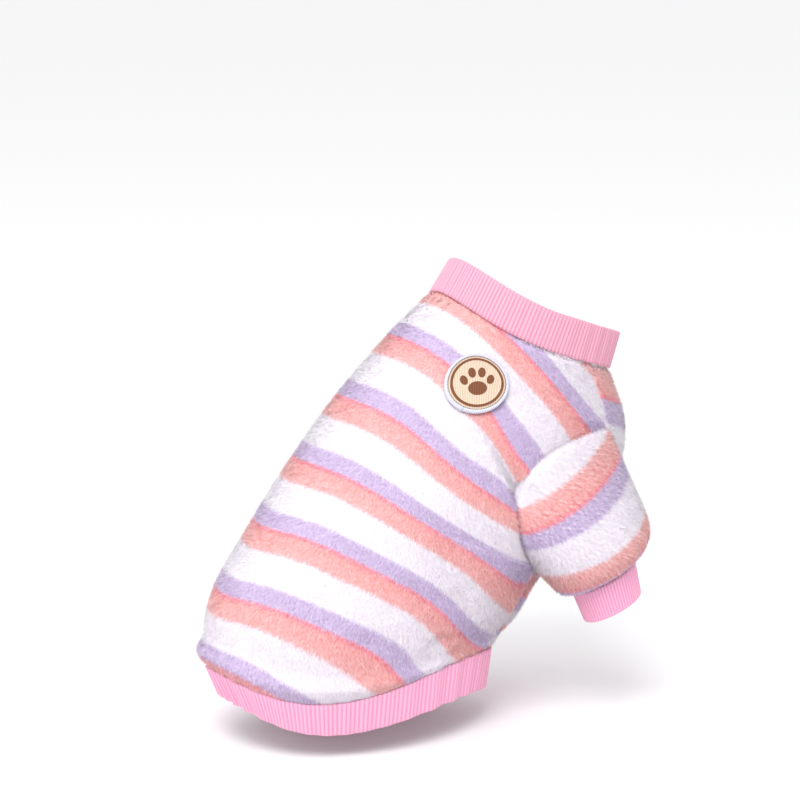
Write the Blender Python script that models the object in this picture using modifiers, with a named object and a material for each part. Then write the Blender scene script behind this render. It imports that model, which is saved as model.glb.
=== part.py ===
"""Striped fleece pullover for a small dog, as worn: nine cut and sewn pieces, each one solid.

The body is a tube of cloth that runs from the neck seam to the hem seam, cut as a wide back
panel and a narrow chest panel. Two armholes lie on the side seams, and a short sleeve hangs
from each. Collar, cuffs and hem are tubes of 1x1 rib, and a small patch is sewn to the right
shoulder. +X is towards the head, +Y the wearer's left, +Z up. Sizes are in millimetres.
"""

import math
from collections import namedtuple

import bpy
import numpy as np

MM = 0.001
SEAM_GAP = 0.4
SIDE_SEAM_GAP = 0.8
FLEECE_WALL = 3.0
RIB_WALL = 2.2
RIB_HEIGHT = 0.5

# Body: rings from the neck seam to the hem seam. at is the share of that way along the back,
# x and z the ring's centre, lean the rise of its axis in degrees, depth and width its half
# sizes, dip how far its sides hang below its plane, skew how much more they do so near the
# spine than near the belly, and seam the side seam's turn from the spine in degrees.
BodyRing = namedtuple("BodyRing", "at x z lean depth width dip skew seam")
BODY_RINGS = (
    BodyRing(at=0.00, x=92, z=11, lean=64, depth=61, width=46, dip=7, skew=5, seam=118),
    BodyRing(at=0.145, x=83, z=-20, lean=66, depth=81, width=58, dip=4, skew=3, seam=123),
    BodyRing(at=0.32, x=56, z=-65, lean=63, depth=93, width=65, dip=2, skew=2, seam=131),
    BodyRing(at=0.47, x=23, z=-94, lean=63, depth=86, width=67, dip=1, skew=2, seam=136),
    BodyRing(at=0.62, x=3, z=-121, lean=68, depth=87, width=67, dip=2, skew=5, seam=139),
    BodyRing(at=0.84, x=-17, z=-150, lean=81, depth=91, width=65, dip=3, skew=13, seam=141),
    BodyRing(at=1.00, x=-20, z=-171, lean=88, depth=87, width=61, dip=3, skew=22, seam=142),
)
HEM_PUFF = 5.5
HEM_PUFF_AT = 0.955
HEM_PUFF_REACH = 0.035

# Armholes: cut from both panels at the side seam. The point says how narrow an end is, from
# 0.5 for half an ellipse to 1 for a leaf's tip.
ARMHOLE_AT = 0.31
ARMHOLE_REACH = 0.16
ARMHOLE_UP = 40
ARMHOLE_DOWN = 24
ARMHOLE_FRONT_POINT = 0.95
ARMHOLE_REAR_POINT = 0.65

# Creases: soft troughs in the body from one place to another, the same on both sides.
Crease = namedtuple("Crease", "at turn to_at to_turn deep wide")
CREASES = (
    Crease(at=0.335, turn=90, to_at=0.275, to_turn=66, deep=4.0, wide=9),
    Crease(at=0.39, turn=112, to_at=0.47, to_turn=134, deep=3.0, wide=10),
    Crease(at=0.52, turn=84, to_at=0.66, to_turn=118, deep=1.5, wide=12),
    Crease(at=0.80, turn=64, to_at=0.93, to_turn=72, deep=2.0, wide=9),
    Crease(at=0.82, turn=28, to_at=0.93, to_turn=34, deep=1.8, wide=8),
    Crease(at=0.80, turn=104, to_at=0.93, to_turn=100, deep=1.8, wide=8),
)
BACK_LENGTH = 262.0
BODY_RADIUS = 72.0

# Sleeves: each runs from its armhole to a round cuff seam, lean and splay being the cuff
# seam's tilt in degrees. The cloth puffs out on its way, by a share of its length there and a
# little more, and less on the side next to the chest.
SleeveEnd = namedtuple("SleeveEnd", "x y z lean splay radius")
SLEEVE_END = SleeveEnd(x=115, y=58, z=-126, lean=64, splay=12, radius=20)
SLEEVE_PUFF = 4.0
SLEEVE_EASE = 0.17
SLEEVE_INNER = 1.1
SHOULDER_X = 101.0
SHOULDER_Z = -73.0
LEFT_SWING = 12.0

CUFF_HEIGHT = 19.0
CUFF_TAPER = 2.0
CUFF_FORE = 5.0
CUFF_OUT = 3.0
CUFF_RIBS = 54
COLLAR_HEIGHT = 22.0
COLLAR_TAPER = 3.0
COLLAR_RIBS = 150
HEM_HEIGHT = 21.5
HEM_LONGER = 3.5
HEM_TAPER = 3.0
HEM_TUCK = 6.0
HEM_RIBS = 180

PATCH_AT = 0.157
PATCH_TURN = 54
PATCH_RADIUS = 18.0
PATCH_THICK = 1.6


def smooth_step(u):
    """0 below 0, 1 above 1, and an even rise between."""
    u = np.clip(u, 0.0, 1.0)
    return u * u * (3.0 - 2.0 * u)


def along(rows, column, at):
    """A table's column at a place between its rows, on a smooth curve through them."""
    x = np.array([row.at for row in rows], float)
    y = np.array([getattr(row, column) for row in rows], float)
    slope = np.gradient(y, x)
    k = np.clip(np.searchsorted(x, at, side="right") - 1, 0, len(x) - 2)
    step = x[k + 1] - x[k]
    u = (at - x[k]) / step
    low = y[k] * (1 + 2 * u) * (1 - u) ** 2 + slope[k] * step * u * (1 - u) ** 2
    high = y[k + 1] * u * u * (3 - 2 * u) + slope[k + 1] * step * u * u * (u - 1)
    return low + high


def crease_depth(at, turn):
    """How far the creases press the body in: each falls off to its sides and past its ends."""
    s, c = at * BACK_LENGTH, np.abs(turn) * BODY_RADIUS
    pressed = np.zeros_like(s)
    for crease in CREASES:
        start = np.array([crease.at * BACK_LENGTH, math.radians(crease.turn) * BODY_RADIUS])
        end = np.array([crease.to_at * BACK_LENGTH, math.radians(crease.to_turn) * BODY_RADIUS])
        way = end - start
        share = ((s - start[0]) * way[0] + (c - start[1]) * way[1]) / (way @ way)
        share = np.clip(share, 0.0, 1.0)
        off = np.hypot(s - start[0] - share * way[0], c - start[1] - share * way[1])
        pressed += crease.deep * (1.0 - 0.5 * share) * np.exp(-((off / crease.wide) ** 2))
    return pressed


def body(at, turn):
    """Outer face of the body, turn in radians from the spine, positive towards the right."""
    at, turn = np.broadcast_arrays(np.asarray(at, float), np.asarray(turn, float))
    lean = np.radians(along(BODY_RINGS, "lean", at))
    puff = HEM_PUFF * np.exp(-(((at - HEM_PUFF_AT) / HEM_PUFF_REACH) ** 2))
    puff = puff * (0.5 + 0.5 * np.cos(turn))
    puff = puff - crease_depth(at, np.arctan2(np.sin(turn), np.cos(turn)))
    deep = (along(BODY_RINGS, "depth", at) + puff) * np.cos(turn)
    wide = (along(BODY_RINGS, "width", at) + puff) * np.sin(turn)
    dip = along(BODY_RINGS, "dip", at) + along(BODY_RINGS, "skew", at) * np.cos(turn)
    dip = dip * np.sin(turn) ** 2
    x = along(BODY_RINGS, "x", at) - np.sin(lean) * deep - np.cos(lean) * dip
    z = along(BODY_RINGS, "z", at) + np.cos(lean) * deep - np.sin(lean) * dip
    return np.stack([x, -wide, z], axis=-1)


def body_normal(at, turn):
    """Unit normal of the body's outer face, from small steps along it and round it."""
    step = 1e-4
    down = body(at + step, turn) - body(at - step, turn)
    round_it = body(at, turn + step) - body(at, turn - step)
    normal = np.cross(down, round_it)
    return normal / np.linalg.norm(normal, axis=-1, keepdims=True)


def seam_turn(at):
    """Turn of the side seam, in radians."""
    return np.radians(along(BODY_RINGS, "seam", at))


def armhole_point(u):
    """The armhole's point at a place from its front, -1, to its rear, 1."""
    return ARMHOLE_FRONT_POINT + (ARMHOLE_REAR_POINT - ARMHOLE_FRONT_POINT) * (1.0 + u) / 2.0


def notch(at, size):
    """How far the armhole cuts a panel back from the side seam, in radians."""
    u = np.clip((at - ARMHOLE_AT) / ARMHOLE_REACH, -1.0, 1.0)
    return math.radians(size) * (1.0 - u * u) ** armhole_point(u)


def armhole(angle):
    """The armhole's edge on the right: 0 is its front, a quarter turn its upper side."""
    u = -np.cos(angle)
    at = ARMHOLE_AT + (ARMHOLE_REACH - SEAM_GAP / BACK_LENGTH) * u
    size = np.radians(np.where(np.sin(angle) > 0, ARMHOLE_UP, ARMHOLE_DOWN))
    size = (size - SEAM_GAP / BODY_RADIUS) * -np.sign(np.sin(angle))
    across = np.abs(np.sin(angle)) ** (2.0 * armhole_point(u))
    return body(at, seam_turn(at) + size * across)


def swung_back(points, degrees):
    """Points turned back about the shoulder."""
    bend = np.radians(degrees)
    dx = points[..., 0] - SHOULDER_X
    dz = points[..., 2] - SHOULDER_Z
    x = SHOULDER_X + np.cos(bend) * dx + np.sin(bend) * dz
    z = SHOULDER_Z - np.sin(bend) * dx + np.cos(bend) * dz
    return np.stack([x, points[..., 1], z], axis=-1)


def sleeve_end(angle):
    """The cuff seam's ring, and the unit directions out of it."""
    lean, splay = math.radians(SLEEVE_END.lean), math.radians(SLEEVE_END.splay)
    fore = np.array([math.sin(lean), 0.0, math.cos(lean)])
    side = np.array([0.0, -math.cos(splay), math.sin(splay)])
    out = np.cos(angle)[..., None] * fore + np.sin(angle)[..., None] * side
    centre = np.array([SLEEVE_END.x, -SLEEVE_END.y, SLEEVE_END.z])
    return centre + out * SLEEVE_END.radius, out


def sleeve(at, angle, swing=0.0):
    """Outer face of the right sleeve, from the armhole's edge to the cuff seam.

    start + way * at + out * puff * at^0.7 * (1 - at^12), the way being from the armhole to the cuff
    seam at each place round it. The swing, in degrees, carries the cuff seam back.
    """
    at, angle = np.broadcast_arrays(np.asarray(at, float), np.asarray(angle, float))
    start = armhole(angle)
    end, out = sleeve_end(angle)
    way = swung_back(end, swing) - start
    puff = SLEEVE_PUFF + SLEEVE_EASE * np.linalg.norm(way, axis=-1)
    puff = puff * (1.0 + SLEEVE_INNER * np.minimum(np.sin(angle), 0.0))
    swell = puff * at ** 0.7 * (1.0 - at ** 12)
    return start + way * at[..., None] + out * swell[..., None]


def ring_normals(points):
    """Unit normals of a closed tube's grid, from its rows' and columns' differences."""
    down = np.gradient(points, axis=0)
    round_it = np.roll(points, -1, axis=1) - np.roll(points, 1, axis=1)
    normal = np.cross(round_it, down)
    return normal / np.linalg.norm(normal, axis=-1, keepdims=True)


def colour_of(name, colour, roughness):
    """A plain material for one piece."""
    material = bpy.data.materials.new(name)
    material.use_nodes = True
    shader = material.node_tree.nodes["Principled BSDF"]
    shader.inputs["Base Color"].default_value = (*colour, 1.0)
    shader.inputs["Roughness"].default_value = roughness
    shader.inputs["Metallic"].default_value = 0.0
    return material


def add_piece(collection, name, points, faces, material):
    """One named object from points in millimetres."""
    mesh = bpy.data.meshes.new(name)
    mesh.from_pydata((np.asarray(points) * MM).tolist(), [], faces)
    mesh.materials.append(material)
    mesh.shade_smooth()
    piece = bpy.data.objects.new(name, mesh)
    collection.objects.link(piece)
    return piece


def grid_faces(rows, columns, closed, start=0):
    """Four-sided faces between the rows of a grid, closed round the last column if asked."""
    last = columns if closed else columns - 1
    faces = []
    for row in range(rows - 1):
        for a in range(last):
            b = (a + 1) % columns
            here = start + row * columns
            below = here + columns
            faces.append((here + a, here + b, below + b, below + a))
    return faces


def cloth(collection, name, points, material, closed=False):
    """An open grid of cloth with a wall built inwards by Solidify."""
    faces = grid_faces(*points.shape[:2], closed)
    piece = add_piece(collection, name, points.reshape(-1, 3), faces, material)
    wall = piece.modifiers.new("Wall", "SOLIDIFY")
    wall.thickness = FLEECE_WALL * MM
    wall.offset = -1.0
    return piece


def panel_rows(before, beside, after):
    """Places along the back, with rows that follow the armhole's rounding."""
    start, end = ARMHOLE_AT - ARMHOLE_REACH, ARMHOLE_AT + ARMHOLE_REACH
    turn = np.linspace(0.0, math.pi, beside)
    return np.concatenate([
        np.linspace(0.0, start, before, endpoint=False),
        ARMHOLE_AT - ARMHOLE_REACH * np.cos(turn),
        np.linspace(end, 1.0, after + 1)[1:],
    ])[:, None]


def half_gap(at):
    """Half the gap at a side seam, in radians."""
    return 0.5 * SIDE_SEAM_GAP / along(BODY_RINGS, "width", at)


def add_back_panel(collection, material):
    """The wide panel, from side seam over the spine to side seam."""
    at = panel_rows(before=5, beside=13, after=12)
    share = np.linspace(-1.0, 1.0, 37)[None, :]
    cut = notch(at, ARMHOLE_UP) * np.abs(share) * share
    turn = (seam_turn(at) - half_gap(at)) * share - cut
    return cloth(collection, "back_panel", body(at, -turn), material)


def add_chest_panel(collection, material):
    """The narrow panel under the chest and belly."""
    at = panel_rows(before=5, beside=13, after=10)
    share = np.linspace(-1.0, 1.0, 11)[None, :]
    edge = math.pi - seam_turn(at) - notch(at, ARMHOLE_DOWN) - half_gap(at)
    return cloth(collection, "chest_panel", body(at, math.pi - edge * share), material)


def add_sleeve(collection, name, side, swing, material):
    """A short sleeve; side is 1 on the right and -1 on the left."""
    at = np.sin(np.linspace(0.0, 0.5 * math.pi, 14))[:, None]
    angle = np.linspace(0.0, 2 * math.pi, 32, endpoint=False)[None, :]
    points = sleeve(at, angle, swing)
    if side < 0:
        points = (points * [1, -1, 1])[:, ::-1]
    return cloth(collection, name, points, material, closed=True)


def rib_tube(collection, name, surface, ribs, material):
    """A tube of 1x1 rib: ridges raised on the outer face over a plain inner face."""
    columns = 2 * ribs
    at = np.linspace(0.0, 1.0, 2)[:, None]
    angle = np.linspace(0.0, 2 * math.pi, columns, endpoint=False)[None, :]
    base = surface(at, angle)
    normal = ring_normals(base)
    low = np.where(np.arange(columns) % 2 == 0, 0.0, RIB_HEIGHT)[None, :, None]
    outer = (base - normal * low).reshape(-1, 3)
    inner = (base - normal * RIB_WALL)[:, ::2].reshape(-1, 3)
    faces = grid_faces(2, columns, True)
    inside = 2 * columns
    faces += [face[::-1] for face in grid_faces(2, ribs, True, inside)]
    for k in range(ribs):
        nxt = (k + 1) % ribs
        for row, flip in ((0, 1), (1, -1)):
            a = row * columns + 2 * k
            b = a + 1
            c = row * columns + 2 * nxt
            d = inside + row * ribs + k
            e = inside + row * ribs + nxt
            faces += [face[::flip] for face in ((b, a, d), (b, d, e), (c, b, e))]
    return add_piece(collection, name, np.concatenate([outer, inner]), faces, material)


def collar_surface(at, angle):
    """Collar: the neck seam's ring carried up along its axis, slightly narrowing."""
    row = BODY_RINGS[0]
    lean = math.radians(row.lean)
    axis = np.array([math.cos(lean), 0.0, math.sin(lean)])
    centre = np.array([row.x, 0.0, row.z])
    rise = SEAM_GAP + COLLAR_HEIGHT * (1.0 - at)
    shrink = 1.0 - COLLAR_TAPER / row.depth * (1.0 - at)
    return centre + (body(0.0, -angle) - centre) * shrink[..., None] + axis * rise[..., None]


def hem_surface(at, angle):
    """Hem band: the hem seam's ring carried down along its axis, tucked in at the spine."""
    row = BODY_RINGS[-1]
    lean = math.radians(row.lean)
    axis = np.array([math.cos(lean), 0.0, math.sin(lean)])
    centre = np.array([row.x, 0.0, row.z])
    drop = SEAM_GAP + (HEM_HEIGHT - HEM_LONGER * np.cos(angle)) * at
    narrowing = HEM_TAPER + HEM_TUCK * np.maximum(np.cos(angle), 0.0)
    shrink = 1.0 - narrowing / row.depth * at
    return centre + (body(1.0, -angle) - centre) * shrink[..., None] - axis * drop[..., None]


def cuff_surface(side, swing):
    """Cuff: the sleeve's last ring carried down and slightly forward, slightly narrowing."""
    centre = np.array([SLEEVE_END.x, -SLEEVE_END.y, SLEEVE_END.z])
    way = np.array([CUFF_FORE, -CUFF_OUT, -CUFF_HEIGHT])

    def surface(at, angle):
        ring = sleeve_end(-side * angle)[0]
        shrink = 1.0 - CUFF_TAPER / SLEEVE_END.radius * at
        drop = at + SEAM_GAP / CUFF_HEIGHT
        points = centre + (ring - centre) * shrink[..., None] + way * drop[..., None]
        return swung_back(points, swing) * [1, side, 1]

    return surface


def add_patch(collection, material):
    """A round patch, made from the back panel's own points and moved out."""
    turn_there = math.radians(PATCH_TURN)
    step = 1e-3
    here = body(PATCH_AT, turn_there)
    per_at = np.linalg.norm(body(PATCH_AT + step, turn_there) - here) / step
    per_turn = np.linalg.norm(body(PATCH_AT, turn_there + step) - here) / step
    rings, spokes = 5, 32
    radius = PATCH_RADIUS * np.linspace(0.0, 1.0, rings + 1)[1:, None]
    spoke = np.linspace(0.0, 2 * math.pi, spokes, endpoint=False)[None, :]
    at = np.append(PATCH_AT, PATCH_AT + radius * np.cos(spoke) / per_at)
    turn = np.append(turn_there, turn_there - radius * np.sin(spoke) / per_turn)
    surface, normal = body(at, turn), body_normal(at, turn)
    top = surface + normal * (SEAM_GAP + PATCH_THICK)
    bottom = surface + normal * SEAM_GAP
    count = len(top)
    middle = [(0, 1 + (k + 1) % spokes, 1 + k) for k in range(spokes)]
    cap = middle + grid_faces(rings, spokes, True, 1)
    under = [tuple(count + v for v in face[::-1]) for face in cap]
    rim = 1 + (rings - 1) * spokes
    wall = []
    for k in range(spokes):
        a, b = rim + k, rim + (k + 1) % spokes
        wall.append((a, b, b + count, a + count))
    faces = cap + under + wall
    return add_piece(collection, "patch", np.concatenate([top, bottom]), faces, material)


def clear_scene():
    """Removes every object that the file starts with."""
    for old in list(bpy.data.objects):
        bpy.data.objects.remove(old, do_unlink=True)


def main():
    clear_scene()
    collection = bpy.data.collections.new("pet_fleece_pullover")
    bpy.context.scene.collection.children.link(collection)
    fleece = (0.93, 0.72, 0.72)
    rib = (0.93, 0.38, 0.60)
    add_back_panel(collection, colour_of("back_fleece", fleece, 0.95))
    add_chest_panel(collection, colour_of("chest_fleece", fleece, 0.95))
    rib_tube(collection, "collar", collar_surface, COLLAR_RIBS, colour_of("collar_rib", rib, 0.9))
    rib_tube(collection, "hem_band", hem_surface, HEM_RIBS, colour_of("hem_rib", rib, 0.9))
    for word, side, swing in (("right", 1, 0.0), ("left", -1, LEFT_SWING)):
        sleeve_fleece = colour_of(word + "_sleeve_fleece", fleece, 0.95)
        cuff_rib = colour_of(word + "_cuff_rib", rib, 0.9)
        add_sleeve(collection, "sleeve_" + word, side, swing, sleeve_fleece)
        rib_tube(collection, "cuff_" + word, cuff_surface(side, swing), CUFF_RIBS, cuff_rib)
    add_patch(collection, colour_of("patch_twill", (0.80, 0.76, 0.70), 0.8))


main()
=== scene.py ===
"""Striped plush pullover for a small dog, as worn: two body panels and two short sleeves of
striped fleece with a short nap, a collar, cuffs and hem of pink 1x1 rib, and an embroidered
patch on the right shoulder. Sizes are in millimetres until a mesh is made.
"""

import math
from collections import namedtuple

import bpy
import numpy as np
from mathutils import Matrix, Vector


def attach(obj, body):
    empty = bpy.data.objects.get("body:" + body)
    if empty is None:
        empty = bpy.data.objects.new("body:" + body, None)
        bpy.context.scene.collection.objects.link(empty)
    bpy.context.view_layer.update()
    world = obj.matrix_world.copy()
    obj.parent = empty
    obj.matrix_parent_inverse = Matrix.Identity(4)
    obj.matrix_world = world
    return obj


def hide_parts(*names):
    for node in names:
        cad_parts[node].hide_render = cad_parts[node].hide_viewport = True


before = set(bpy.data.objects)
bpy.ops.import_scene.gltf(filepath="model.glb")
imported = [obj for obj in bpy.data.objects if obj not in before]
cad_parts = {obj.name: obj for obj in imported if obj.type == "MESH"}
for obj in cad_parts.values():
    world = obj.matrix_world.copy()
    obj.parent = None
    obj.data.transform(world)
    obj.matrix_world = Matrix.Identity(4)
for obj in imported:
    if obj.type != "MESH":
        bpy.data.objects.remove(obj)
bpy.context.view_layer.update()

# ---------------------------------------------------------------------------------------
# Back panel: one wide piece of striped fleece from neck to hem, cut round both armholes.
# Its form is the body's, a tube through rings that share the CAD solid's sizes, with soft
# creases, small gathers at the hem and a fuller stretch that hangs over the hem band.

MM = 0.001
BACK_LENGTH = 262.0
BODY_RADIUS = 72.0
HEM_PUFF = 5.5
HEM_PUFF_AT = 0.955
HEM_PUFF_REACH = 0.035

# The rings go down the back, from the neck seam at 0 to the hem seam at 1.
BodyRing = namedtuple("BodyRing", "at x z lean depth width dip skew seam")
BODY_RINGS = (
    BodyRing(at=0.00, x=92, z=11, lean=64, depth=61, width=46, dip=7, skew=5, seam=118),
    BodyRing(at=0.145, x=83, z=-20, lean=66, depth=81, width=58, dip=4, skew=3, seam=123),
    BodyRing(at=0.32, x=56, z=-65, lean=63, depth=93, width=65, dip=2, skew=2, seam=131),
    BodyRing(at=0.47, x=23, z=-94, lean=63, depth=86, width=67, dip=1, skew=2, seam=136),
    BodyRing(at=0.62, x=3, z=-121, lean=68, depth=87, width=67, dip=2, skew=5, seam=139),
    BodyRing(at=0.84, x=-17, z=-150, lean=81, depth=91, width=65, dip=3, skew=13, seam=141),
    BodyRing(at=1.00, x=-20, z=-171, lean=88, depth=87, width=61, dip=3, skew=22, seam=142),
)


def cubic(low, high, rise, fall, u):
    """The cubic from low to high as u goes from 0 to 1, its slopes there being rise and fall."""
    first = low * (1 + 2 * u) * (1 - u) ** 2 + rise * u * (1 - u) ** 2
    second = high * u * u * (3 - 2 * u) + fall * u * u * (u - 1)
    return first + second


def through(x, y, at):
    """The smooth curve through values y at x: cubic pieces whose slopes are y's own."""
    slope = np.gradient(y, x)
    k = np.clip(np.searchsorted(x, at, side="right") - 1, 0, len(x) - 2)
    step = x[k + 1] - x[k]
    return cubic(y[k], y[k + 1], slope[k] * step, slope[k + 1] * step, (at - x[k]) / step)


def along(column, at, rows=BODY_RINGS):
    """A column of the body's rings, or of another table down the back, between its rows."""
    x = np.array([row.at for row in rows], float)
    y = np.array([getattr(row, column) for row in rows], float)
    return through(x, y, at)


# Creases are straight on the flat cloth, on both sides of the body, and fade along their way.
Crease = namedtuple("Crease", "at turn to_at to_turn deep wide")
CREASES = (
    Crease(at=0.330, turn=94, to_at=0.235, to_turn=67, deep=6.5, wide=3.2),
    Crease(at=0.330, turn=94, to_at=0.38, to_turn=105, deep=3.0, wide=5),
    Crease(at=0.39, turn=112, to_at=0.47, to_turn=134, deep=3.0, wide=9),
    Crease(at=0.50, turn=84, to_at=0.64, to_turn=112, deep=1.8, wide=10),
    Crease(at=0.60, turn=100, to_at=0.70, to_turn=124, deep=1.2, wide=8),
    Crease(at=0.72, turn=48, to_at=0.88, to_turn=66, deep=1.3, wide=9),
    Crease(at=0.80, turn=72, to_at=0.94, to_turn=78, deep=1.8, wide=8),
    Crease(at=0.82, turn=28, to_at=0.93, to_turn=34, deep=1.8, wide=8),
    Crease(at=0.80, turn=104, to_at=0.93, to_turn=100, deep=1.6, wide=7),
    Crease(at=0.03, turn=64, to_at=0.11, to_turn=78, deep=1.0, wide=6),
    Crease(at=0.44, turn=20, to_at=0.60, to_turn=36, deep=0.9, wide=12),
)
CREASE_FADE = 0.8


def crease_line(crease):
    """A crease's start and the way to its end, in millimetres down and round the cloth."""
    start = np.array([crease.at * BACK_LENGTH, math.radians(crease.turn) * BODY_RADIUS])
    end = np.array([crease.to_at * BACK_LENGTH, math.radians(crease.to_turn) * BODY_RADIUS])
    return start, end - start


def crease_depth(at, turn):
    """Sum of deep * (1 - CREASE_FADE * share) * exp(-(off / wide)^2), share being how far
    along a crease its nearest point lies, and off the distance from there."""
    s, c = at * BACK_LENGTH, np.abs(turn) * BODY_RADIUS
    pressed = np.zeros_like(s)
    for crease in CREASES:
        start, way = crease_line(crease)
        share = ((s - start[0]) * way[0] + (c - start[1]) * way[1]) / (way @ way)
        share = np.clip(share, 0.0, 1.0)
        off = np.hypot(s - start[0] - share * way[0], c - start[1] - share * way[1])
        fading = 1.0 - CREASE_FADE * share
        pressed += crease.deep * fading * np.exp(-((off / crease.wide) ** 2))
    return pressed


GATHERS = 38
HEM_GATHER = 0.55
HEM_GATHER_REACH = 13.0
NECK_GATHER = 0.25
NECK_GATHER_REACH = 8.0


def gathers(at, turn):
    """Waves round the body, uneven in height and width, that die out from the hem seam and,
    smaller, from the neck seam: sin(GATHERS * turn) * height * exp(-(distance / reach)^2)."""
    uneven = 1.0 + 0.5 * np.sin(3 * turn + 1.0) + 0.3 * np.sin(7 * turn)
    wave = np.sin(GATHERS * turn + 1.6 * np.sin(5 * turn)) * uneven
    near_hem = np.exp(-(((1.0 - at) * BACK_LENGTH / HEM_GATHER_REACH) ** 2))
    near_neck = np.exp(-((at * BACK_LENGTH / NECK_GATHER_REACH) ** 2))
    return wave * (HEM_GATHER * near_hem + NECK_GATHER * near_neck)


def body(at, turn, creased=1.0):
    """Outer face of the body, turn in radians from the spine, positive towards the right.

    centre + (depth + f) cos(turn) up + (width + f) sin(turn) right, less a dip along the
    ring's axis, where f is the fuller stretch over the hem band, less a share of the creases.
    """
    at, turn = np.broadcast_arrays(np.asarray(at, float), np.asarray(turn, float))
    lean = np.radians(along("lean", at))
    full = HEM_PUFF * np.exp(-(((at - HEM_PUFF_AT) / HEM_PUFF_REACH) ** 2))
    full = full * (0.5 + 0.5 * np.cos(turn)) + gathers(at, turn)
    full = full - creased * crease_depth(at, np.arctan2(np.sin(turn), np.cos(turn)))
    deep = (along("depth", at) + full) * np.cos(turn)
    wide = (along("width", at) + full) * np.sin(turn)
    dip = (along("dip", at) + along("skew", at) * np.cos(turn)) * np.sin(turn) ** 2
    x = along("x", at) - np.sin(lean) * deep - np.cos(lean) * dip
    z = along("z", at) + np.cos(lean) * deep - np.sin(lean) * dip
    return np.stack([x, -wide, z], axis=-1)


# The panels meet at the side seams, and each armhole is cut across one of those.
SIDE_SEAM_GAP = 0.8
ARMHOLE_AT = 0.31
ARMHOLE_REACH = 0.16
ARMHOLE_UP = 40
ARMHOLE_DOWN = 24
ARMHOLE_FRONT_POINT = 0.95
ARMHOLE_REAR_POINT = 0.65
ROW_CROWDING = 0.85


def seam_turn(at):
    """Turn of the side seam, in radians."""
    return np.radians(along("seam", at))


def half_gap(at):
    """Half the gap at a side seam, in radians."""
    return 0.5 * SIDE_SEAM_GAP / along("width", at)


def armhole_point(u):
    """How narrow the armhole is at a place from its front, -1, to its rear, 1."""
    return ARMHOLE_FRONT_POINT + (ARMHOLE_REAR_POINT - ARMHOLE_FRONT_POINT) * (1.0 + u) / 2.0


def notch(at, size):
    """How far the armhole cuts a panel back from the side seam, in radians:
    size * (1 - u^2)^point, u being -1 at the armhole's front and 1 at its rear."""
    u = np.clip((at - ARMHOLE_AT) / ARMHOLE_REACH, -1.0, 1.0)
    return math.radians(size) * (1.0 - u * u) ** armhole_point(u)


def panel_rows(before, beside, after):
    """Places along the back, closer together at the armhole's ends and towards the hem."""
    start, end = ARMHOLE_AT - ARMHOLE_REACH, ARMHOLE_AT + ARMHOLE_REACH
    beside_at = ARMHOLE_AT - ARMHOLE_REACH * np.cos(np.linspace(0.0, math.pi, beside))
    after_at = end + (1.0 - end) * np.linspace(0.0, 1.0, after + 1)[1:] ** ROW_CROWDING
    first = np.linspace(0.0, start, before, endpoint=False)
    return np.concatenate([first, beside_at, after_at])[:, None]


def panel_edge(at, share, half_width, length, hem_share):
    """Millimetres to a panel's nearest sewn edge, those to the hem times hem_share."""
    edge = np.minimum((1.0 - np.abs(share)) * half_width, at * length)
    return np.minimum(edge, (1.0 - at) * length * hem_share)


# A piece of fleece is a grid of points with normals, its place on the flat cloth in stripe
# repeats, and the distance from the nearest sewn edge. A closed grid goes all the way round.
Cloth = namedtuple("Cloth", "points normals uv edge closed")
NAP_DEPTH = 1.3
SEAM_ROLL = 0.9
SEAM_ROLL_REACH = 2.2
FLEECE_WALL = 1.8
# Painted shade: the shell under the nap and the garment's inside are coloured a little darker.
SHELL_PAINTED_SHADE = 0.96
INSIDE_PAINTED_SHADE = 0.97


def unit(way):
    """Vectors brought to a length of 1."""
    return way / np.maximum(np.linalg.norm(way, axis=-1, keepdims=True), 1e-9)


def grid_normals(points, closed):
    """Unit cross product of a grid's differences round it and down it, pointing out."""
    down = np.gradient(points, axis=0)
    if closed:
        across = np.roll(points, -1, axis=1) - np.roll(points, 1, axis=1)
    else:
        across = np.gradient(points, axis=1)
    return unit(np.cross(across, down))


def cloth_map(down, across):
    """The UV map of a grid: how far down the flat cloth, and how far across it."""
    return np.stack(np.broadcast_arrays(down, across), axis=-1)


def sewn_cloth(points, uv, edge, closed=False, depth=NAP_DEPTH):
    """Cloth moved in by the nap's depth, and by a little more near a sewn edge:
    points - normal * (depth + SEAM_ROLL * exp(-(edge / SEAM_ROLL_REACH)^2))."""
    normals = grid_normals(points, closed)
    edge = np.broadcast_to(edge, points.shape[:2])
    drop = depth + SEAM_ROLL * np.exp(-((edge / SEAM_ROLL_REACH) ** 2))
    return Cloth(points - normals * drop[..., None], normals, uv, edge, closed)


def quads(rows, columns, closed):
    """Corner numbers of a grid's quads, as an array of four columns."""
    last = columns if closed else columns - 1
    row, a = np.meshgrid(np.arange(rows - 1), np.arange(last), indexing="ij")
    b = (a + 1) % columns
    here, below = row * columns, (row + 1) * columns
    return np.stack([here + a, here + b, below + b, below + a], axis=-1).reshape(-1, 4)


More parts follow.
